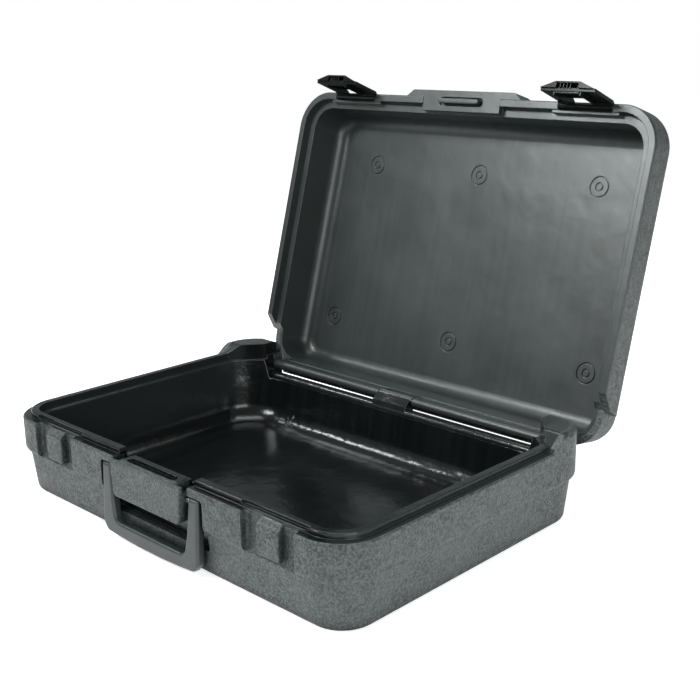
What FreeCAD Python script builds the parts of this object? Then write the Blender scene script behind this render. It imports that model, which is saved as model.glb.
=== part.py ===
import FreeCAD, Part

import math
import os

# Hard equipment case, blow moulded with double walls, shown standing open.
# Lengths are in millimetres.  Shapes are drawn with the lid closed, with y measured back
# from the front face and z up from the ground.  place_* then turns the lid and its latches
# open and moves everything to the case's own frame: +X across the case, +Y towards the
# hinge, +Z up, with the origin at the centre of the base's bottom face.

# Driving dimensions
CASE_WIDTH = 440.0
CASE_DEPTH = 312.0
CLOSED_HEIGHT = 132.0
PARTING = 74.0              # top of the base's rim
LID_GAP = 0.4               # between the two rims when shut
CORNER_RADIUS = 38.0
LID_OPEN_ANGLE = 105.75
LATCH_REST_ANGLE = 5.0      # how far the free latches hang out

# Outer shells
BASE_STEP = 40.3            # underside of the base's thick band
LID_STEP = 106.0            # upper side of the lid's thick band
BASE_INSETS = (8.8, 4.2)    # drafted wall at the base's bottom and at its band
LID_INSETS = (10.5, 8.0)    # the same at the lid's top and its band
BASE_BAND_FILLET = 6.0
LID_BAND_FILLET = 7.5
BASE_EDGE_RADIUS = 7.0
LID_EDGE_RADIUS = 23.0
WALL = 2.2                  # one skin of the double wall
VENT_RADIUS = 1.0           # hole left by the blowing needle
VENT_X = 105.0

# Insides
FLOOR = 6.0
LINER_TOP_INSET = 14.0
LINER_LEDGE_INSET = 15.0
LINER_LOW_INSET = 18.0
LINER_FLOOR_INSET = 24.0
LEDGE = 70.0
REAR_CORNER_RADIUS = 48.0
FLOOR_FILLET = 20.0
LID_CEILING = 127.0
LID_LINER_INSET = 14.5
LID_CEILING_INSET = 18.0
LID_CEILING_FILLET = 13.0

# Interlocking rims
TONGUE_INSET = 7.4
TONGUE_TOP = 78.6
TONGUE_END = 256.0
TONGUE_GAP_HALF = 49.0
TONGUE_CUTBACK = 75.8
RABBET_INSET = 7.0
RABBET_DEPTH = 82.6
RABBET_GROOVE = 1.8         # narrow groove along the foot of the rabbet's wall
LATCH_RIM_HALF = 36.0

# Hinge
AXIS_Y = 303.0
AXIS_Z = 62.0
BARREL_RADIUS = 5.0
ROD_RADIUS = 1.6
RUNNING_GAP = 0.06
BARREL_END = 178.5
KNUCKLE_HALF = 21.5
KNUCKLE_GAP_HALF = 22.5
REAR_EDGE = 49.3
BEAD_Y = 293.5
BEAD_TOP = 57.0
BEAD_RADIUS = 6.0
EAR_INNER = 179.0
EAR_FOOT = 56.0
EAR_TOP = 87.0
EAR_CLEARANCE = 1.2
EAR_RAMP_FOOT = 252.0
EAR_RAMP_TOP = 269.0

# Handle and its pocket
PANEL_PROUD = 5.5
PANEL_TOP_HALF = 46.5
PANEL_BOTTOM_HALF = 44.5
PANEL_BOTTOM = 42.0
POCKET_HALF = 68.0
POCKET_BOTTOM = 23.0
POCKET_TOP = 67.4
POCKET_FLOOR = 14.0
HANDLE_HALF = 64.0
HANDLE_PIVOT_Y = 3.0
HANDLE_PIVOT_Z = 62.0
HANDLE_THICKNESS = 8.5
HANDLE_REST_ANGLE = 3.0     # the handle hangs a little forward, against its stop
HANDLE_PIN_RADIUS = 2.0

# Centre block and its slot
SLOT_Y = 4.4
SLOT_HALF_LENGTH = 32.0
SLOT_HALF_WIDTH = 3.8
PILL_HALF_LENGTH = 24.5
PILL_HALF_WIDTH = 2.4
LID_BLOCK_FACE = 75.4
LID_BLOCK_HALF = 48.0
FRAME_TOP = 75.0

# Latches
LATCH_X = 142.5
LATCH_HALF = 28.0
RECESS_HALF = 29.0
RECESS_DEPTH = 6.8
BLOCK_HALF = 12.0
BLOCK_BOTTOM = 45.0
PIN_Y = 3.0
PIN_Z = 77.0
LATCH_PIN_RADIUS = 1.5
LATCH_PIN_HALF = 33.0
KNUCKLE_RADIUS = 3.2
LATCH_FRONT = -2.4
LATCH_BACK = 0.8
TOOTH_BACK = 2.4
LATCH_END = 39.5
WINDOW_HALF = 12.8
PULL_RISE = 5.3
PULL_TOP_HALF = 12.5
PULL_SKIN = 1.4
PULL_HOLLOW_HALF = 11.4
PULL_HOLLOW_END = 58.0
PULL_RIBS = (-8.5, -5.0, -1.5, 2.0)

FAR = 400.0
X_AXIS = FreeCAD.Vector(1, 0, 0)
Y_AXIS = FreeCAD.Vector(0, 1, 0)
Z_AXIS = FreeCAD.Vector(0, 0, 1)


def point(x, y, z):
    return FreeCAD.Vector(x, y, z)


# Outlines and simple solids

def outline(x_half, y_front, y_rear, radius, z, rear_radius=None):
    """Rounded rectangle in plan, at one height."""
    bend = radius if rear_radius is None else rear_radius
    front, rear = y_front + radius, y_rear - bend
    corners = [(x_half - radius, front, radius, -90), (x_half - bend, rear, bend, 0),
               (bend - x_half, rear, bend, 90), (radius - x_half, front, radius, 180)]
    edges = []
    first = last = None
    for x, y, radius, start in corners:
        ends = []
        for turn in (0, 45, 90):
            angle = math.radians(start + turn)
            ends.append(point(x + radius * math.cos(angle), y + radius * math.sin(angle), z))
        if last is not None:
            edges.append(Part.LineSegment(last, ends[0]).toShape())
        else:
            first = ends[0]
        edges.append(Part.Arc(*ends).toShape())
        last = ends[2]
    edges.append(Part.LineSegment(last, first).toShape())
    return Part.Wire(edges)


def section(inset, z, rear_inset=None, radius=None, rear_radius=None):
    """The case's plan drawn in by an inset."""
    rear_inset = inset if rear_inset is None else rear_inset
    radius = CORNER_RADIUS - inset if radius is None else radius
    return outline(CASE_WIDTH / 2 - inset, inset, CASE_DEPTH - rear_inset, radius, z, rear_radius)


def drafted(lower, upper):
    return Part.makeLoft([lower, upper], True, True)


def box(x, y, z):
    """Box between three (low, high) pairs."""
    size = [high - low for low, high in (x, y, z)]
    return Part.makeBox(*size, point(x[0], y[0], z[0]))


def polygon_prism(corners, plane, low, high):
    """Prism of a polygon given as (a, b) pairs in the xy, xz or yz plane."""
    place = {"xy": lambda a, b: point(a, b, low),
             "xz": lambda a, b: point(a, low, b),
             "yz": lambda a, b: point(low, a, b)}[plane]
    along = {"xy": Z_AXIS, "xz": Y_AXIS, "yz": X_AXIS}[plane]
    corners = [place(a, b) for a, b in corners]
    face = Part.Face(Part.makePolygon(corners + corners[:1]))
    return face.extrude(along * (high - low))


def rod(radius, x_low, x_high, y, z):
    """Round bar along X."""
    return Part.makeCylinder(radius, x_high - x_low, point(x_low, y, z), X_AXIS)


def fillet_where(shape, radius, test):
    """Round the edges whose bounding box passes a test."""
    return shape.makeFillet(radius, [edge for edge in shape.Edges if test(edge.BoundBox)])


def fillet_level(shape, radius, z):
    return fillet_where(shape, radius, lambda b: abs(b.ZMin - z) < 0.01 and abs(b.ZMax - z) < 0.01)


def is_along(bounds, axis):
    """True for a straight edge along one axis."""
    lengths = {"x": bounds.XLength, "y": bounds.YLength, "z": bounds.ZLength}
    return all((length > 0.01) == (name == axis) for name, length in lengths.items())


def rounded_box(x, y, z, radius, axis):
    return fillet_where(box(x, y, z), radius, lambda b: is_along(b, axis))


def stadium(half_length, half_width, y, z_low, z_high):
    """Upright prism with round ends, lying along X."""
    x = (-half_length, half_length)
    shape = box(x, (y - half_width, y + half_width), (z_low, z_high))
    return fillet_where(shape, half_width * 0.999, lambda b: is_along(b, "z"))


def both_sides(shape):
    return [shape, shape.mirror(point(0, 0, 0), X_AXIS)]


def joined(shapes):
    return shapes[0].multiFuse(shapes[1:]).removeSplitter()


# Features that the base and the lid share

def hull(end, step, parting, reach, insets, end_radius, growth=0.0):
    """Drafted body, up to its reach, and thick band of one half, each drawn in by a growth."""
    slope = (insets[1] - insets[0]) / (step - end)
    levels = {end: insets[0] + growth, reach: insets[0] + slope * (reach - end) + growth}
    low, high = sorted(levels)
    body = drafted(section(levels[low], low), section(levels[high], high))
    body = fillet_level(body, end_radius - growth, end)
    low, high = sorted((step, parting))
    band = drafted(section(growth, low), section(growth, high))
    return body, band


def base_hull(growth=0.0):
    return hull(0.0, BASE_STEP, PARTING, PARTING - 8.0, BASE_INSETS, BASE_EDGE_RADIUS, growth)


def lid_hull(growth=0.0):
    parting = PARTING + LID_GAP
    return hull(CLOSED_HEIGHT, LID_STEP, parting, parting, LID_INSETS, LID_EDGE_RADIUS, growth)


def ear_column(offset, z_low=EAR_FOOT, z_high=101.0):
    """Space of one rear corner's ear: inner side face and a face across the corner."""
    across = FreeCAD.Vector(0.753, 0.659, 0)

    def corners(shift, z):
        inner = EAR_INNER + shift
        outer = CASE_WIDTH / 2 + 10.0
        points = [(inner, CASE_DEPTH + 10.0), (inner, diagonal(inner, shift)),
                  (outer, diagonal(outer, shift)), (outer, CASE_DEPTH + 10.0)]
        points = [point(x, y, z) for x, y in points]
        return Part.makePolygon(points + points[:1])

    def diagonal(x, shift):
        return 256.0 + (shift - (x - 207.0) * across.x) / across.y

    column = drafted(corners(offset, z_low), corners(offset + 2.5, z_high))
    edge = diagonal(EAR_INNER + offset, offset)
    return fillet_where(column, 8.0 - offset, lambda b: abs(b.YMin - edge) < 4.0 and b.ZLength > 20.0
                        and b.XLength < 8.0)


def recess(x_centre, half, y, z, radius=3.0):
    return rounded_box((x_centre - half, x_centre + half), y, z, radius, "z")


# Base shell

def base_cavity(growth=0.0):
    """The base's inside, drawn out by a growth."""
    rear_top, rear_low, rear_floor = 21.0, 21.6, 31.0
    bend = REAR_CORNER_RADIUS
    upper = drafted(section(LINER_LEDGE_INSET - growth, LEDGE - growth, rear_top - growth, 23.0),
                    section(LINER_TOP_INSET - growth, 100.0, rear_top - growth, 24.0))
    upper = fillet_level(upper, 2.0, LEDGE - growth)
    lower = drafted(section(LINER_FLOOR_INSET - growth, FLOOR - growth, rear_floor - growth, 22.0, bend - 2.0),
                    section(LINER_LOW_INSET - growth, LEDGE + 2.0, rear_low - growth, 22.0, bend))
    lower = fillet_level(lower, FLOOR_FILLET, FLOOR - growth)
    cavity = upper.fuse(lower)
    for column in both_sides(ear_column(growth, EAR_FOOT + growth)):
        cavity = cavity.cut(column)
    return cavity


def rear_profile_cut():
    """What is cut away between the ears to make room for the hinge."""
    bead_z = BEAD_TOP - BEAD_RADIUS
    front = BEAD_Y - BEAD_RADIUS
    slope_y, slope_z = 301.5, 50.6
    turn = math.radians(42.0)
    crest = [point(0, front, bead_z),
             point(0, BEAD_Y - BEAD_RADIUS * math.cos(turn), bead_z + BEAD_RADIUS * math.sin(turn)),
             point(0, BEAD_Y + BEAD_RADIUS * math.sin(turn), bead_z + BEAD_RADIUS * math.cos(turn))]
    outside = CASE_DEPTH + 10.0
    corners = [crest[2], point(0, slope_y, slope_z), point(0, CASE_DEPTH - 1.0, REAR_EDGE),
               point(0, outside, REAR_EDGE - 1.0), point(0, outside, 110.0), point(0, front - 3.0, 110.0),
               point(0, front - 3.0, bead_z), crest[0]]
    edges = [Part.Arc(*crest).toShape()]
    edges += [Part.LineSegment(a, b).toShape() for a, b in zip(corners, corners[1:])]
    face = Part.Face(Part.Wire(edges))
    face.translate(point(-EAR_INNER, 0, 0))
    return face.extrude(X_AXIS * (2 * EAR_INNER))


def ear():
    """One rear corner raised beside the lid's barrel."""
    corner = drafted(section(0.0, BASE_STEP + 10.0), section(0.0, EAR_TOP))
    corner = fillet_level(corner, 5.5, EAR_TOP)
    profile = [(EAR_RAMP_FOOT, 54.0), (EAR_RAMP_FOOT, PARTING - 1.0), (EAR_RAMP_TOP, EAR_TOP),
               (CASE_DEPTH, EAR_TOP), (CASE_DEPTH, 54.0)]
    side = polygon_prism(profile, "yz", EAR_INNER - 5.0, CASE_WIDTH / 2 + 5.0)
    side = fillet_where(side, 12.0, lambda b: is_along(b, "x") and b.YMin > CASE_DEPTH - 1 and b.ZMin > 80)
    side = fillet_where(side, 5.0, lambda b: is_along(b, "x") and abs(b.YMin - EAR_RAMP_TOP) < 0.1)
    return corner.common(side).common(ear_column(0.0))


def tongue():
    """Raised ring that the lid's rabbet fits over."""
    ring = drafted(section(TONGUE_INSET, PARTING - 4.0), section(TONGUE_INSET + 0.4, TONGUE_TOP))
    ring = fillet_level(ring, 1.2, TONGUE_TOP)
    ring = ring.cut(base_cavity())
    ring = ring.cut(box((-FAR, FAR), (TONGUE_END, FAR), (0, FAR)))
    gap, rise = TONGUE_GAP_HALF, TONGUE_TOP + 2.0 - PARTING
    gap_profile = [(-gap, PARTING), (-gap - rise / 2, PARTING + rise), (gap + rise / 2, PARTING + rise), (gap, PARTING)]
    ring = ring.cut(polygon_prism(gap_profile, "xz", -5.0, 40.0))
    for side in (-1, 1):
        x = side * LATCH_X
        cutback = box((x - LATCH_RIM_HALF, x + LATCH_RIM_HALF), (-5, 10.6), (TONGUE_CUTBACK, FAR))
        ring = ring.cut(cutback)
    return ring


def handle_panel():
    """Raised middle of the front, between the handle's arms, with its frame on top."""
    corners = [(-PANEL_TOP_HALF, PARTING), (-PANEL_BOTTOM_HALF, PANEL_BOTTOM), (PANEL_BOTTOM_HALF, PANEL_BOTTOM),
               (PANEL_TOP_HALF, PARTING)]
    panel = polygon_prism(corners, "xz", -PANEL_PROUD, POCKET_FLOOR + 1.0)
    panel = fillet_where(panel, 5.0, lambda b: is_along(b, "y") and b.ZMin < PANEL_BOTTOM + 1)
    front = -PANEL_PROUD
    panel = fillet_where(panel, 1.6, lambda b: abs(b.YMin - front) < 0.01 and abs(b.YMax - front) < 0.01)
    frame = rounded_box((-37.5, 37.0), (-3.4, 12.5), (PARTING - 6.0, FRAME_TOP), 3.0, "z")
    frame = fillet_level(frame, 0.8, FRAME_TOP)
    return panel.fuse(frame)


def handle_pocket():
    x = (-POCKET_HALF, POCKET_HALF)
    return rounded_box(x, (-20, POCKET_FLOOR), (POCKET_BOTTOM, POCKET_TOP), 3.0, "y")


def catch_recess(x):
    """Recess of one latch, which runs out into the wall at the band's underside."""
    hollow = recess(x, RECESS_HALF, (-10.0, RECESS_DEPTH), (30.0, 90.0))
    foot = [(-11.0, BASE_STEP), (BASE_INSETS[1], BASE_STEP), (8.0, BASE_STEP + 11.0), (8.0, 29.0), (-11.0, 29.0)]
    return hollow.cut(polygon_prism(foot, "yz", x - RECESS_HALF - 1.0, x + RECESS_HALF + 1.0))


def catch_block(x):
    """Block that the latch's tooth hooks under."""
    profile = [(0.0, BLOCK_BOTTOM), (0.0, 69.0), (6.5, PARTING), (11.0, PARTING), (11.0, BLOCK_BOTTOM)]
    block = polygon_prism(profile, "yz", x - BLOCK_HALF, x + BLOCK_HALF)
    return fillet_where(block, 1.2, lambda b: b.YMax < 6.6 and b.XLength < 0.01 or b.YMax < 0.01)


def base_void():
    """Hollow between the two skins."""
    body, band = base_hull(WALL)
    lifted = box((-FAR, FAR), (-FAR, FAR), (WALL, PARTING - 3.0))
    body = body.common(lifted)
    band = band.common(box((-FAR, FAR), (45.0, 245.0), (BASE_STEP + 6.0, PARTING - 3.0)))
    void = body.fuse(band).cut(base_cavity(WALL))
    solid_zones = [box((-78, 78), (-10, 17), (18, FAR)), box((-FAR, FAR), (284, FAR), (44, FAR))]
    for side in (-1, 1):
        x = side * LATCH_X
        solid_zones.append(box((x - 33, x + 33), (-10, 13), (36, FAR)))
    for zone in solid_zones:
        void = void.cut(zone)
    return void


def make_base_shell():
    body, band = base_hull()
    band = fillet_level(band, BASE_BAND_FILLET, BASE_STEP)
    band = fillet_level(band, 1.6, PARTING)
    shell = body.fuse(band).cut(handle_pocket())
    for side in (-1, 1):
        shell = shell.cut(catch_recess(side * LATCH_X))
    parts = [shell, handle_panel()]
    parts += [catch_block(side * LATCH_X) for side in (-1, 1)]
    shell = joined(parts)
    shell = shell.cut(base_cavity())
    shell = shell.fuse(tongue())
    for one in both_sides(ear()):
        shell = shell.fuse(one)
    shell = shell.cut(rear_profile_cut())
    knuckle_profile = [(287.7, 51.0), (290.5, 60.0), (297.5, 65.5), (303.0, 57.0), (301.0, 50.0)]
    web = polygon_prism(knuckle_profile, "yz", -KNUCKLE_HALF, KNUCKLE_HALF)
    shell = joined([shell, web, rod(BARREL_RADIUS, -KNUCKLE_HALF, KNUCKLE_HALF, AXIS_Y, AXIS_Z)])
    slot = stadium(SLOT_HALF_LENGTH, SLOT_HALF_WIDTH, SLOT_Y, 66.0, FAR)
    cuts = [slot] + both_sides(rounded_box((38.0, 50.0), (-1.5, 20.0), (66.0, 90.0), 2.0, "z"))
    cuts.append(rod(ROD_RADIUS, -FAR, 202.0, AXIS_Y, AXIS_Z))
    cuts += [handle_pin(side) for side in (-1, 1)]
    cuts.append(base_void())
    cuts.append(Part.makeCylinder(VENT_RADIUS, 22.0, point(-VENT_X, 296.5, 38.0)))
    for cut in cuts:
        shell = shell.cut(cut)
    return shell.removeSplitter()


# Lid shell

def lid_cavity(growth=0.0):
    lower = section(LID_LINER_INSET - growth, 60.0, None, 23.5 + growth)
    upper = section(LID_CEILING_INSET - growth, LID_CEILING + growth, None, 22.0 + growth)
    return fillet_level(drafted(lower, upper), LID_CEILING_FILLET + growth, LID_CEILING + growth)


def kiss_off_places():
    """Places where the lid's two skins are pressed together."""
    places = [(x, 67.9) for x in (-141.5, 0.0, 141.5)]
    return places + [(x, 241.8) for x in (-165.7, 0.0, 165.7)]


def rabbet():
    """Step in the lid's rim that takes the base's tongue."""
    step = drafted(section(RABBET_INSET, 60.0), section(RABBET_INSET + 0.2, RABBET_DEPTH))
    inner = RABBET_INSET + RABBET_GROOVE
    groove = drafted(section(RABBET_INSET + 0.2, RABBET_DEPTH - 1.0), section(RABBET_INSET + 0.4, RABBET_DEPTH + 1.2))
    groove = groove.cut(drafted(section(inner, RABBET_DEPTH - 2.0), section(inner, RABBET_DEPTH + 2.0)))
    step = step.fuse(groove)
    step = step.common(box((-FAR, FAR), (-FAR, TONGUE_END + 8.0), (0, FAR)))
    for side in (-1, 1):
        x = side * LATCH_X
        half = LATCH_RIM_HALF - 1.0
        step = step.cut(box((x - half, x + half), (-5, 10.2), (TONGUE_CUTBACK + 0.6, FAR)))
    return step


def lid_block():
    """Raised middle of the lid's front rim."""
    half = LID_BLOCK_HALF
    corners = [(-71.0, 0.0), (-63.0, -6.5), (63.0, -6.5), (71.0, 0.0), (71.0, 6.5), (half, 6.5),
               (half, 14.0), (-half, 14.0), (-half, 6.5), (-71.0, 6.5)]
    block = polygon_prism(corners, "xy", LID_BLOCK_FACE, 100.0)
    block = fillet_where(block, 3.0, lambda b: is_along(b, "z") and b.YMax < -5.0)
    return fillet_where(block, 2.0, lambda b: b.ZMin > 99.9 and b.YMax < 0.1)


def lid_void():
    body, band = lid_hull(WALL)
    body = body.common(box((-FAR, FAR), (-FAR, FAR), (RABBET_DEPTH + 2.6, CLOSED_HEIGHT - 1.8)))
    band = band.common(box((-FAR, FAR), (45.0, 245.0), (RABBET_DEPTH + 2.6, LID_STEP - 6.0)))
    void = body.fuse(band).cut(lid_cavity(WALL - 0.6))
    for x, y in kiss_off_places():
        void = void.cut(Part.makeCylinder(13.5, 60.0, point(x, y, 90.0)))
    solid_zones = [box((-76, 76), (-10, 14), (0, 103))]
    for side in (-1, 1):
        x = side * LATCH_X
        solid_zones.append(box((x - 36, x + 36), (-10, 13), (0, 88)))
        low, high = sorted((side * 172.0, side * FAR))
        solid_zones.append(box((low, high), (246, FAR), (0, 91)))
    for zone in solid_zones:
        void = void.cut(zone)
    return void


def ear_notch(side, band_top=None):
    """Room in the lid for one ear, open at the rear corner and, for the band, up to its top."""
    foot, top, ceiling = EAR_RAMP_FOOT - 0.5, EAR_RAMP_TOP - 1.5, EAR_TOP + EAR_CLEARANCE
    profile = [(foot, 50.0), (foot, PARTING), (top, ceiling)]
    if band_top is None:
        profile += [(FAR, ceiling), (FAR, 50.0)]
    else:
        profile += [(top + 5.0, band_top), (FAR, band_top), (FAR, 50.0)]
    low, high = sorted((side * (EAR_INNER - 0.2), side * FAR))
    return polygon_prism(profile, "yz", low, high)


def make_lid_shell():
    parting = PARTING + LID_GAP
    body, band = lid_hull()
    band = fillet_level(band, LID_BAND_FILLET, LID_STEP)
    band = fillet_level(band, 1.4, parting)
    for side in (-1, 1):
        band = band.cut(ear_notch(side, LID_STEP + 1.0))
    shell = body.fuse(band).cut(lid_cavity())
    shell = shell.cut(rabbet())
    shell = shell.cut(box((-LID_BLOCK_HALF, LID_BLOCK_HALF), (-10.0, 14.0), (60.0, LID_BLOCK_FACE)))
    web = box((-BARREL_END, BARREL_END), (AXIS_Y - BARREL_RADIUS, AXIS_Y + BARREL_RADIUS), (AXIS_Z, 80.0))
    barrel = rod(BARREL_RADIUS, -BARREL_END, BARREL_END, AXIS_Y, AXIS_Z)
    shell = joined([shell, lid_block(), web, barrel])
    shell = shell.cut(lid_cavity().common(box((-FAR, FAR), (-FAR, AXIS_Y - BARREL_RADIUS), (60, FAR)))
                      .cut(lid_block()))
    cuts = [box((-KNUCKLE_GAP_HALF, KNUCKLE_GAP_HALF), (290, 308.01), (50, parting)),
            rod(ROD_RADIUS + RUNNING_GAP, -FAR, FAR, AXIS_Y, AXIS_Z)]
    groove = stadium(PILL_HALF_LENGTH + 2.7, PILL_HALF_WIDTH + 2.0, SLOT_Y, LID_BLOCK_FACE - 1.0,
                     LID_BLOCK_FACE + 3.0)
    cuts.append(groove)
    for side in (-1, 1):
        cuts.append(recess(side * LATCH_X, RECESS_HALF, (-20, 8.0), (60.0, 84.0)))
        cuts.append(ear_notch(side))
        pin = latch_pin(side)
        cuts.append(pin)
    for x, y in kiss_off_places():
        for outer, inner in ((10.4, 9.0), (4.4, 3.0)):
            ring = Part.makeCylinder(outer, 3.0, point(x, y, LID_CEILING - 2.0))
            ring = ring.cut(Part.makeCylinder(inner, 3.0, point(x, y, LID_CEILING - 2.0)))
            cuts.append(ring)
    cuts.append(lid_void())
    cuts.append(Part.makeCylinder(VENT_RADIUS, 11.0, point(VENT_X, 290.0, 70.0), Y_AXIS))
    cuts.append(Part.makeCylinder(VENT_RADIUS, 20.0, point(VENT_X, 300.8, 69.5)))
    for cut in cuts:
        shell = shell.cut(cut)
    pill = stadium(PILL_HALF_LENGTH, PILL_HALF_WIDTH, SLOT_Y, PARTING - 4.0, LID_BLOCK_FACE + 4.0)
    pill = fillet_level(pill, 1.0, PARTING - 4.0)
    return joined([shell, pill])


# Hinge rod, handle and handle pins

def make_hinge_rod():
    return rod(ROD_RADIUS, -204.5, 202.0, AXIS_Y, AXIS_Z)


def handle_pin(side):
    inner, outer = side * 39.0, side * (HANDLE_HALF - 2.5)
    return rod(HANDLE_PIN_RADIUS, min(inner, outer), max(inner, outer), HANDLE_PIVOT_Y, HANDLE_PIVOT_Z)


def make_handle():
    top = HANDLE_PIVOT_Z + 4.3
    half = HANDLE_HALF
    outer = [(half, top), (half, 12.0), (58.0, 5.4), (40.0, 4.0), (16.0, 3.0), (-16.0, 3.0), (-40.0, 4.0),
             (-58.0, 5.4), (-half, 12.0), (-half, top)]
    inner = [(52.5, top + 5.0), (50.0, 36.0), (46.5, 16.6), (-46.5, 16.6), (-50.0, 36.0), (-52.5, top + 5.0)]
    low = HANDLE_PIVOT_Y - 4.5
    body = polygon_prism(outer, "xz", low, low + HANDLE_THICKNESS)
    body = fillet_where(body, 6.0, lambda b: is_along(b, "y") and b.ZMin < 20.5 and abs(b.Center.x) > 50)
    opening = polygon_prism(inner, "xz", low - 5.0, low + HANDLE_THICKNESS + 5.0)
    opening = fillet_where(opening, 7.0, lambda b: is_along(b, "y") and b.ZMin < 20.5)
    grip = body.cut(opening)
    faces = (low, low + HANDLE_THICKNESS)
    grip = fillet_where(grip, 2.6, lambda b: b.YLength < 0.01 and min(abs(b.YMin - y) for y in faces) < 0.01)
    bore = rod(HANDLE_PIN_RADIUS + RUNNING_GAP, 2.0 - half, half - 2.0, HANDLE_PIVOT_Y, HANDLE_PIVOT_Z)
    grip = grip.cut(bore)
    grip.rotate(point(0, HANDLE_PIVOT_Y, HANDLE_PIVOT_Z), X_AXIS, -HANDLE_REST_ANGLE)
    return grip


# Latches and their pins, drawn latched

def latch_pin(side):
    x = side * LATCH_X
    return rod(LATCH_PIN_RADIUS, x - LATCH_PIN_HALF, x + LATCH_PIN_HALF, PIN_Y, PIN_Z)


def make_latch(side):
    x = side * LATCH_X
    arm_profile = [(LATCH_FRONT, LATCH_END + 2.0), (LATCH_FRONT, PIN_Z - 3.0), (LATCH_FRONT + 2.6, PIN_Z + 1.0),
                   (PIN_Y, PIN_Z), (PIN_Y, PIN_Z - 2.0), (LATCH_BACK, PIN_Z - 6.0), (LATCH_BACK, LATCH_END + 2.0)]
    pieces = [rod(KNUCKLE_RADIUS, x - LATCH_HALF, x + LATCH_HALF, PIN_Y, PIN_Z)]
    for low, high in ((-LATCH_HALF, -WINDOW_HALF), (WINDOW_HALF, LATCH_HALF)):
        pieces.append(polygon_prism(arm_profile, "yz", x + low, x + high))
        rib = (low, low + 1.6) if low > 0 else (high - 1.6, high)
        pieces.append(box((x + rib[0], x + rib[1]), (0.0, 4.2), (BLOCK_BOTTOM - 3.0, PIN_Z - 6.0)))
    bar = box((x - LATCH_HALF, x + LATCH_HALF), (LATCH_FRONT, LATCH_BACK), (41.5, BLOCK_BOTTOM - 0.3))
    tooth = box((x - BLOCK_HALF, x + BLOCK_HALF), (LATCH_BACK - 1.0, TOOTH_BACK), (42.0, BLOCK_BOTTOM - 0.3))
    pieces += [bar, tooth, finger_pull(x)]
    latch = joined(pieces)
    return latch.cut(rod(LATCH_PIN_RADIUS + RUNNING_GAP, x - 40, x + 40, PIN_Y, PIN_Z))


def pull_section(x, z, rise):
    """Trapezoid of the finger pull at one height."""
    foot, top = LATCH_FRONT + 0.6, LATCH_FRONT - rise
    corners = [(x - LATCH_HALF, foot), (x - PULL_TOP_HALF, top), (x + PULL_TOP_HALF, top), (x + LATCH_HALF, foot)]
    corners = [point(a, b, z) for a, b in corners]
    return Part.makePolygon(corners + corners[:1])


def finger_pull(x):
    """Wedge over the latch, high at its free end, hollow and ribbed inside, with a window."""
    foot, foot_rise = PIN_Z - 7.0, 0.3
    slope = (PULL_RISE - foot_rise) / (foot - LATCH_END)
    wedge = drafted(pull_section(x, LATCH_END, PULL_RISE), pull_section(x, foot, foot_rise))
    open_end = LATCH_END - 1.0
    under_roof = [LATCH_FRONT - PULL_RISE + slope * (z - LATCH_END) + PULL_SKIN for z in (open_end, PULL_HOLLOW_END)]
    profile = [(LATCH_FRONT + 1.0, open_end), (under_roof[0], open_end), (under_roof[1], PULL_HOLLOW_END),
               (LATCH_FRONT + 1.0, PULL_HOLLOW_END)]
    hollow = polygon_prism(profile, "yz", x - PULL_HOLLOW_HALF, x + PULL_HOLLOW_HALF)
    ribs = [box((x + low, x + low + 1.1), (-20.0, 0.0), (LATCH_END + 1.2, PULL_HOLLOW_END + 1.0)) for low in PULL_RIBS]
    ribs = [rib.common(wedge) for rib in ribs]
    window = box((x + PULL_RIBS[-1] + 1.1, x + WINDOW_HALF - 1.8), (-20.0, 5.0), (BLOCK_BOTTOM + 4.0, foot + 1.0))
    return joined([wedge.cut(hollow)] + ribs).cut(window)


# Placing and writing

def place_on_base(shape):
    shape.translate(point(0, -CASE_DEPTH / 2, 0))
    return shape


def place_on_lid(shape):
    shape.rotate(point(0, AXIS_Y, AXIS_Z), X_AXIS, -LID_OPEN_ANGLE)
    return place_on_base(shape)


def place_latch(shape):
    shape.rotate(point(0, PIN_Y, PIN_Z), X_AXIS, -LATCH_REST_ANGLE)
    return place_on_lid(shape)


def main():
    nodes = {
        "base_shell": place_on_base(make_base_shell()),
        "hinge_rod": place_on_base(make_hinge_rod()),
        "handle": place_on_base(make_handle()),
        "handle_pin_right": place_on_base(handle_pin(1)),
        "handle_pin_left": place_on_base(handle_pin(-1)),
        "lid_shell": place_on_lid(make_lid_shell()),
    }
    for name, side in (("left", -1), ("right", 1)):
        nodes["latch_pin_" + name] = place_on_lid(latch_pin(side))
        nodes["latch_" + name] = place_latch(make_latch(side))
    os.makedirs("parts", exist_ok=True)
    for name, shape in nodes.items():
        solids = shape.Solids
        print(name, "solids", len(solids), "valid", shape.isValid(), "shells", len(shape.Shells),
              "litres", round(shape.Volume / 1e6, 4))
        (solids[0] if len(solids) == 1 else shape).exportStep("parts/" + name + ".step")


main()
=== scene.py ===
import math

import bpy
from mathutils import Matrix, Vector

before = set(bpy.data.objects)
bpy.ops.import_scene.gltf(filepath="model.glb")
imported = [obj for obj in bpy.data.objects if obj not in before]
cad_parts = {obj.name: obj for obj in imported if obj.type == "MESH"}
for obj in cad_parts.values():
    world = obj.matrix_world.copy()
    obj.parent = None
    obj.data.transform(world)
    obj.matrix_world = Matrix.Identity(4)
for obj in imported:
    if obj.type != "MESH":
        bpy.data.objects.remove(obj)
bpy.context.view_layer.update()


# Camera, as it looks back along a line from the point it faces

CAMERA_ANGLES = (44.131, 15.977, -0.667)    # azimuth, elevation and roll in degrees
CAMERA_TARGET = (0.08356, -0.006, 0.16014)
CAMERA_DISTANCE = 0.92448
CAMERA_LENS = 57.37


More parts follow.
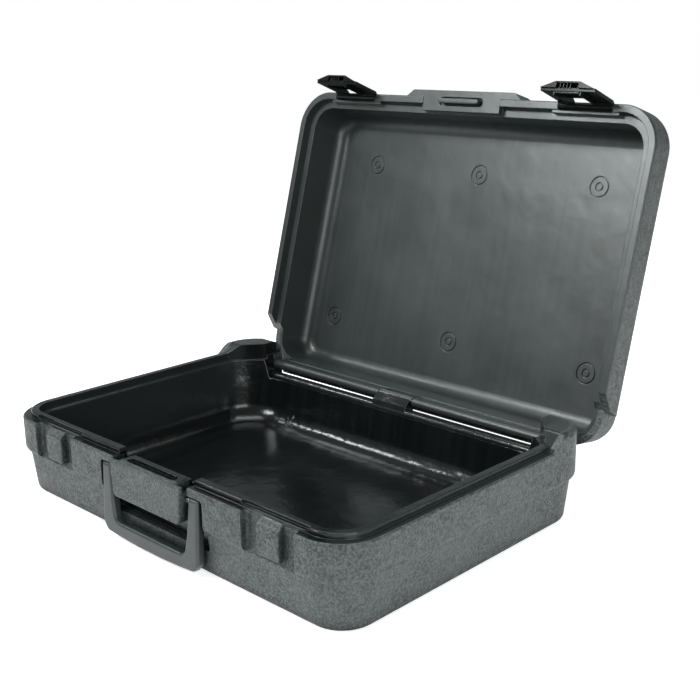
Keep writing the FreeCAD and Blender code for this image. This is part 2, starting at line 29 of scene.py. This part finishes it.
def add_camera():
    azimuth, elevation, roll = (math.radians(angle) for angle in CAMERA_ANGLES)
    back = Vector((math.sin(azimuth) * math.cos(elevation), -math.cos(azimuth) * math.cos(elevation),
                   math.sin(elevation)))
    right = (-back).cross(Vector((0, 0, 1))).normalized()
    up = right.cross(-back)
    turned_right = math.cos(roll) * right + math.sin(roll) * up
    turned_up = -math.sin(roll) * right + math.cos(roll) * up
    place = Matrix((turned_right, turned_up, back)).transposed().to_4x4()
    place.translation = Vector(CAMERA_TARGET) + CAMERA_DISTANCE * back
    data = bpy.data.cameras.new("camera")
    data.lens = CAMERA_LENS
    data.sensor_width = 36.0
    camera = bpy.data.objects.new("camera", data)
    camera.matrix_world = place
    bpy.context.scene.collection.objects.link(camera)
    bpy.context.scene.camera = camera


# Materials

class Shader:
    """A Principled material and short ways to add nodes to it."""

    def __init__(self, name):
        self.material = bpy.data.materials.new(name)
        self.material.use_nodes = True
        self.nodes = self.material.node_tree.nodes
        self.links = self.material.node_tree.links
        self.principled = self.nodes["Principled BSDF"]

    def add(self, kind, inputs=(), **settings):
        node = self.nodes.new("ShaderNode" + kind)
        for name, value in settings.items():
            setattr(node, name, value)
        for socket, value in dict(inputs).items():
            self.plug(node.inputs[socket], value)
        return node

    def plug(self, socket, value):
        if isinstance(value, bpy.types.NodeSocket):
            self.links.new(value, socket)
        else:
            socket.default_value = value

    def math(self, operation, *values, clamp=False):
        return self.add("Math", enumerate(values), operation=operation, use_clamp=clamp).outputs[0]

    def ramp(self, value, low, high, to_low=0.0, to_high=1.0):
        node = self.add("MapRange", {0: value, 1: low, 2: high, 3: to_low, 4: to_high},
                        interpolation_type="SMOOTHSTEP")
        return node.outputs[0]

    def mix(self, factor, a, b):
        node = self.add("Mix", {0: factor, 6: a, 7: b}, data_type="RGBA")
        return node.outputs[2]

    def mix_value(self, factor, a, b):
        return self.add("Mix", {0: factor, 2: a, 3: b}).outputs[0]

    def mix_vector(self, factor, a, b):
        return self.add("Mix", {0: factor, 4: a, 5: b}, data_type="VECTOR").outputs[1]

    def noise(self, vector, scale, detail=2.0, roughness=0.5):
        settings = {"Vector": vector, "Scale": scale, "Detail": detail, "Roughness": roughness}
        return self.add("TexNoise", settings).outputs["Fac"]

    def bump(self, height, strength, distance, normal=None):
        node = self.add("Bump", {"Height": height, "Strength": strength, "Distance": distance})
        if normal is not None:
            self.plug(node.inputs["Normal"], normal)
        return node.outputs["Normal"]

    def vector(self, operation, *values):
        node = self.add("VectorMath", enumerate(values), operation=operation)
        return node.outputs["Value" if operation in ("LENGTH", "DOT_PRODUCT") else "Vector"]

    def both(self, *masks):
        value = masks[0]
        for mask in masks[1:]:
            value = self.math("MULTIPLY", value, mask)
        return value

    def either(self, *masks):
        value = masks[0]
        for mask in masks[1:]:
            value = self.math("MAXIMUM", value, mask)
        return value

    def soft_normal(self, radius):
        return self.add("Bevel", {"Radius": radius}, samples=4).outputs[0]

    def occlusion_shade(self, reach, depth, normal):
        """Mask for painted shade in recesses and under an overhang, from ambient occlusion."""
        occlusion = self.add("AmbientOcclusion", {"Distance": reach, "Normal": normal}, samples=6)
        return self.ramp(occlusion.outputs["AO"], 0.15, 0.85, depth, 0.0)

    def edges(self, rounded):
        """Mask of the edges, from how far the rounded normal turns."""
        flat = self.add("NewGeometry").outputs["Normal"]
        return self.ramp(self.vector("DOT_PRODUCT", rounded, flat), 0.995, 0.86)


# The case, shut, in metres

CASE_HALF = (0.22, 0.156)
CORNER = 0.038
HINGE = (0.0, 0.147, 0.062)
LID_ANGLE = 105.75
FOLD_PLACE = (-0.132, 0.119)    # in plan, in the base's left rear corner
FOLD_POINTS = 5.0
# Where the base's inside side walls get painted light
SIDE_WALL_X = (0.190, 0.200)
SIDE_WALL_Z = (0.012, 0.030)

# Heights and insets are (mask's 0, mask's 1) pairs of a soft edge
CAVITY_INSET = (0.0122, 0.0128)
RIM_INSET = (0.0060, 0.0068)
BASE_CAVITY_Z = (0.0040, 0.0050)
BASE_RIM_Z = (0.0725, 0.0735)
BASE_LAND_Z = (0.0733, 0.0737)
BASE_LAND_TOP_Z = (0.0765, 0.0760)
BASE_LAND_INSET = (0.0012, 0.0020)
LID_CAVITY_Z = (0.1290, 0.1285)
LID_RIM_Z = (0.0850, 0.0845)
LID_FACE_Z = (0.0768, 0.0764)
LID_GROOVE_Z = (0.1271, 0.1275)    # floor of the rings round the kiss-off points

# Colours

# Painted shade, darkening recesses and what lies under overhangs
RECESS_SHADE_TONE = (0.002, 0.0025, 0.0025, 1)
# Painted shade on the floor of the rings round the kiss-off points
GROOVE_SHADE_TONE = (0.0015, 0.0018, 0.0018, 1)
# Painted light on the base's inside side walls
SIDE_WALL_LIGHT_TONE = (0.0150, 0.0180, 0.0185, 1)
# Painted highlight on the fold star
FOLD_HIGHLIGHT_TONE = (0.16, 0.18, 0.18, 1)
# Lighter edges, part wear and part painted highlight
WORN_AND_HIGHLIGHT_TONE = (0.12, 0.135, 0.135, 1)
SHELL_WEAR_AND_HIGHLIGHT = 0.35
# The two halves are one plastic; their tone levels differ as painted light and shade: the base's inside
# darker, the lid's inside lighter and its outside darker
BASE_FINISH_AND_LIGHTING = {"outer": ((0.008, 0.0095, 0.0095, 1), (0.073, 0.084, 0.084, 1)),
               "inner": ((0.0030, 0.0036, 0.0038, 1), (0.0048, 0.0058, 0.0060, 1)),
               "inner_rough": (0.15, 0.22), "shine": 0.34, "fine": 0.16, "ripple": 0.55}
LID_FINISH_AND_LIGHTING = {"outer": ((0.005, 0.006, 0.006, 1), (0.054, 0.062, 0.062, 1)),
              "inner": ((0.0125, 0.0158, 0.0155, 1), (0.0160, 0.0200, 0.0197, 1)),
              "inner_rough": (0.34, 0.42), "shine": 0.5, "fine": 0.05, "ripple": 0.25}


def case_inset(s, place):
    """Distance in from the case's rounded outline in plan."""
    x, y, z = s.add("SeparateXYZ", {0: place}).outputs
    sides = []
    for value, half in ((x, CASE_HALF[0]), (y, CASE_HALF[1])):
        sides.append(s.math("SUBTRACT", s.math("ABSOLUTE", value), half - CORNER))
    outward = [s.math("MAXIMUM", side, 0.0) for side in sides]
    squares = [s.math("MULTIPLY", side, side) for side in outward]
    outside = s.math("SQRT", s.math("ADD", *squares))
    inside = s.math("MINIMUM", s.math("MAXIMUM", *sides), 0.0)
    return s.math("SUBTRACT", CORNER, s.math("ADD", outside, inside)), x, y, z


def pinch_mark(s, x, y, z):
    """Mask of the folded star that the moulding leaves in one rear corner of the base."""
    along, across = (s.math("SUBTRACT", value, centre) for value, centre in zip((x, y), FOLD_PLACE))
    reach = s.vector("LENGTH", s.add("CombineXYZ", {0: along, 1: across}).outputs[0])
    turn = s.math("MULTIPLY", s.math("ARCTAN2", across, along), FOLD_POINTS)
    star = s.both(s.ramp(s.math("COSINE", turn), 0.2, 1.0), s.ramp(reach, 0.0085, 0.001))
    beside = s.math("ABSOLUTE", s.math("ADD", along, 0.010))
    fold = s.both(s.ramp(beside, 0.0060, 0.0045), s.ramp(s.math("ABSOLUTE", across), 0.0022, 0.0006))
    return s.both(s.either(star, fold), s.ramp(z, 0.040, 0.030))


def smooth_mask(s, lid, inset, z):
    """Mask of the satin inside and of the faces where the two halves meet."""
    cavity_z, rim_z = (LID_CAVITY_Z, LID_RIM_Z) if lid else (BASE_CAVITY_Z, BASE_RIM_Z)
    cavity = s.both(s.ramp(inset, *CAVITY_INSET), s.ramp(z, *cavity_z))
    rim = s.both(s.ramp(inset, *RIM_INSET), s.ramp(z, *rim_z))
    if lid:
        face = s.ramp(z, *LID_FACE_Z)
    else:
        face = s.both(s.ramp(z, *BASE_LAND_Z), s.ramp(z, *BASE_LAND_TOP_Z), s.ramp(inset, *BASE_LAND_INSET))
    return s.either(cavity, rim, face)


def shell_material(name, lid):
    """Blow-moulded plastic: fine pebble outside, satin where the two halves meet and inside."""
    s = Shader(name)
    finish_and_lighting = LID_FINISH_AND_LIGHTING if lid else BASE_FINISH_AND_LIGHTING
    place = closed = s.add("TexCoord").outputs["Object"]
    if lid:
        turn = {"Vector": place, "Center": HINGE, "Angle": math.radians(LID_ANGLE)}
        closed = s.add("VectorRotate", turn, rotation_type="X_AXIS").outputs[0]
    inset, x, y, z = case_inset(s, closed)
    smooth = smooth_mask(s, lid, inset, z)
    cloud = s.noise(place, 14.0, 3.0, 0.55)
    speckle = s.noise(place, 470.0, 2.0, 0.7)
    blotch = s.noise(place, 150.0)
    streak_place = s.add("Mapping", {"Vector": closed, "Scale": (1.0, 0.06, 0.06)}).outputs[0]
    streak = s.noise(streak_place, 160.0)
    ripple = s.noise(place, 45.0)
    fine = s.noise(place, 330.0)
    rounded = s.soft_normal(0.001)

    outer_dark, outer_light = finish_and_lighting["outer"]
    outer_tone = s.mix(s.ramp(speckle, 0.34, 0.66), outer_dark, outer_light)
    outer_tone = s.mix(s.math("MULTIPLY", s.ramp(cloud, 0.35, 0.75), 0.45), outer_tone, outer_light)
    inner_tone = s.mix(s.ramp(streak, 0.35, 0.7), *finish_and_lighting["inner"])
    satin = s.math("ADD", ripple, s.math("MULTIPLY", fine, finish_and_lighting["fine"]))
    if lid:
        # Painted shade in the rings round the kiss-off points
        inner_tone = s.mix(s.ramp(z, *LID_GROOVE_Z), inner_tone, GROOVE_SHADE_TONE)
    else:
        # Painted light: the base's inside side walls are lighter
        lit_side_wall = s.both(s.ramp(s.math("ABSOLUTE", x), *SIDE_WALL_X), s.ramp(z, *SIDE_WALL_Z))
        inner_tone = s.mix(lit_side_wall, inner_tone, SIDE_WALL_LIGHT_TONE)
        pinch = pinch_mark(s, x, y, z)
        # Painted highlight on the fold star; its bump is the real mark
        inner_tone = s.mix(s.math("MULTIPLY", s.ramp(pinch, 0.45, 0.9), 0.7), inner_tone, FOLD_HIGHLIGHT_TONE)
        satin = s.math("ADD", satin, s.math("MULTIPLY", pinch, 4.0))
    tone = s.mix(smooth, outer_tone, inner_tone)
    # Lighter edges: part wear, part painted highlight
    tone = s.mix(s.math("MULTIPLY", s.edges(rounded), SHELL_WEAR_AND_HIGHLIGHT), tone, WORN_AND_HIGHLIGHT_TONE)
    # Painted shade: outer recesses and what lies under overhangs darken and lose specular
    painted_shade = s.math("MULTIPLY", s.math("SUBTRACT", 1.0, smooth), s.occlusion_shade(0.022, 0.9, rounded))
    s.plug(s.principled.inputs["Base Color"], s.mix(painted_shade, tone, RECESS_SHADE_TONE))

    outer_rough = s.ramp(blotch, 0.3, 0.7, 0.40, 0.56)
    inner_rough = s.ramp(cloud, 0.3, 0.7, *finish_and_lighting["inner_rough"])
    s.plug(s.principled.inputs["Roughness"], s.mix_value(smooth, outer_rough, inner_rough))
    s.plug(s.principled.inputs["Specular IOR Level"], s.mix_value(painted_shade, finish_and_lighting["shine"], 0.05))

    pebble = s.add("TexVoronoi", {"Vector": place, "Scale": 760.0}, feature="SMOOTH_F1").outputs["Distance"]
    pebble = s.math("ADD", pebble, s.math("MULTIPLY", speckle, 1.2))
    outer_normal = s.bump(pebble, 0.9, 0.0004, rounded)
    inner_normal = s.bump(satin, finish_and_lighting["ripple"], 0.0014, rounded)
    s.plug(s.principled.inputs["Normal"], s.mix_vector(smooth, outer_normal, inner_normal))
    return s.material


def moulded(name, dark, light, low, high, grain, depth, worn_and_highlight, shine=0.5):
    """Smooth moulded plastic with a faint flow pattern, edges lighter from wear and painted highlight, and
    painted shade in recesses.
    """
    s = Shader(name)
    place = s.add("TexCoord").outputs["Object"]
    cloud = s.noise(place, 38.0, 3.0, 0.55)
    fine = s.noise(place, grain, 2.0, 0.6)
    rounded = s.soft_normal(0.0008)
    tone = s.mix(s.ramp(cloud, 0.3, 0.7), (*dark, 1), (*light, 1))
    # Lighter edges: part wear, part painted highlight
    tone = s.mix(s.math("MULTIPLY", s.edges(rounded), 0.35), tone, (*worn_and_highlight, 1))
    # Painted shade: recesses and what lies under overhangs darken and lose specular
    painted_shade = s.occlusion_shade(0.012, 0.8, rounded)
    s.plug(s.principled.inputs["Base Color"], s.mix(painted_shade, tone, RECESS_SHADE_TONE))
    s.plug(s.principled.inputs["Specular IOR Level"], s.mix_value(painted_shade, shine, 0.02))
    s.plug(s.principled.inputs["Roughness"], s.ramp(fine, 0.3, 0.7, low, high))
    s.plug(s.principled.inputs["Normal"], s.bump(fine, 0.4, depth, rounded))
    return s.material


def drawn_steel(name):
    """Wire drawn along X, with fine scratches round and along it."""
    s = Shader(name)
    place = s.add("TexCoord").outputs["Object"]
    along = s.add("Mapping", {"Vector": place, "Scale": (30.0, 900.0, 900.0)}).outputs[0]
    scratch = s.noise(along, 1.0, 3.0, 0.6)
    tone = s.mix(s.ramp(scratch, 0.3, 0.7), (0.42, 0.42, 0.43, 1), (0.62, 0.62, 0.63, 1))
    s.plug(s.principled.inputs["Base Color"], tone)
    s.principled.inputs["Metallic"].default_value = 1.0
    s.plug(s.principled.inputs["Roughness"], s.ramp(scratch, 0.3, 0.7, 0.22, 0.38))
    s.plug(s.principled.inputs["Normal"], s.bump(scratch, 0.2, 0.00005))
    return s.material


def pale_floor():
    """White table that lights the case from below a little."""
    s = Shader("floor")
    place = s.add("TexCoord").outputs["Object"]
    cloud = s.noise(place, 1.2, 2.0)
    white = s.mix(cloud, (0.84, 0.84, 0.84, 1), (0.88, 0.88, 0.88, 1))
    s.plug(s.principled.inputs["Base Color"], white)
    s.principled.inputs["Roughness"].default_value = 0.85
    s.principled.inputs["Specular IOR Level"].default_value = 0.1
    s.plug(s.principled.inputs["Emission Color"], white)
    s.principled.inputs["Emission Strength"].default_value = 0.85
    return s.material


def paint(node, material):
    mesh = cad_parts[node].data
    mesh.materials.clear()
    mesh.materials.append(material)


# Stage

STUDIO_TINT = (0.94, 1.0, 0.99)
ROOM_TINT = (0.93, 1.0, 0.99, 1)
ROOM_STRENGTH = 0.34
FLOOR_HALF = 6.0
FLOOR_Z = -0.0005

# name, place, target, size, power and spread in degrees
LIGHTS = (("key", (2.0, -0.75, 0.6), (0.1, 0.0, 0.05), (1.2, 0.8), 26, 180.0),
          ("top", (-0.3, 0.3, 1.9), (0, 0, 0.1), (1.3, 0.9), 20, 180.0),
          ("front", (-0.5, -1.05, 1.2), (0.15, 0.28, 0.30), (0.5, 0.4), 3.6, 50.0),
          ("strip", (-1.25, -0.42, 1.35), (0, 0.1, 0.02), (0.28, 0.22), 7, 180.0))


def add_area(name, place, target, size, power, spread):
    data = bpy.data.lights.new(name, "AREA")
    data.shape = "RECTANGLE"
    data.size, data.size_y = size
    data.energy = power
    data.spread = math.radians(spread)
    data.color = STUDIO_TINT
    light = bpy.data.objects.new(name, data)
    light.location = place
    light.rotation_euler = (Vector(target) - Vector(place)).to_track_quat("-Z", "Y").to_euler()
    bpy.context.scene.collection.objects.link(light)


def add_stage():
    mesh = bpy.data.meshes.new("floor")
    corners = [(x * FLOOR_HALF, y * FLOOR_HALF, 0) for x, y in ((-1, -1), (1, -1), (1, 1), (-1, 1))]
    mesh.from_pydata(corners, [], [(0, 1, 2, 3)])
    floor = bpy.data.objects.new("floor", mesh)
    floor.location.z = FLOOR_Z
    mesh.materials.append(pale_floor())
    bpy.context.scene.collection.objects.link(floor)
    world = bpy.data.worlds.new("studio")
    world.use_nodes = True
    nodes, links = world.node_tree.nodes, world.node_tree.links
    room = nodes["Background"]
    room.inputs["Color"].default_value = ROOM_TINT
    room.inputs["Strength"].default_value = ROOM_STRENGTH
    backdrop = nodes.new("ShaderNodeBackground")
    backdrop.inputs["Color"].default_value = (1, 1, 1, 1)
    seen = nodes.new("ShaderNodeLightPath").outputs["Is Camera Ray"]
    mix = nodes.new("ShaderNodeMixShader")
    for socket, value in zip(mix.inputs, (seen, room.outputs[0], backdrop.outputs[0])):
        links.new(value, socket)
    links.new(mix.outputs[0], nodes["World Output"].inputs[0])
    bpy.context.scene.world = world
    bpy.context.scene.view_settings.view_transform = "Standard"
    for light in LIGHTS:
        add_area(*light)


add_camera()
add_stage()
paint("base_shell", shell_material("base_shell", False))
paint("lid_shell", shell_material("lid_shell", True))
for node in ("hinge_rod", "handle_pin_left", "handle_pin_right", "latch_pin_left", "latch_pin_right"):
    paint(node, drawn_steel("steel_" + node))
paint("handle", moulded("handle", (0.019, 0.0235, 0.0235), (0.027, 0.033, 0.033), 0.32, 0.44, 700.0,
                        0.00004, (0.11, 0.125, 0.125)))
for node in ("latch_left", "latch_right"):
    paint(node, moulded(node, (0.0035, 0.0042, 0.0042), (0.005, 0.006, 0.006), 0.16, 0.24, 300.0,
                        0.00001, (0.02, 0.024, 0.024), 0.1))
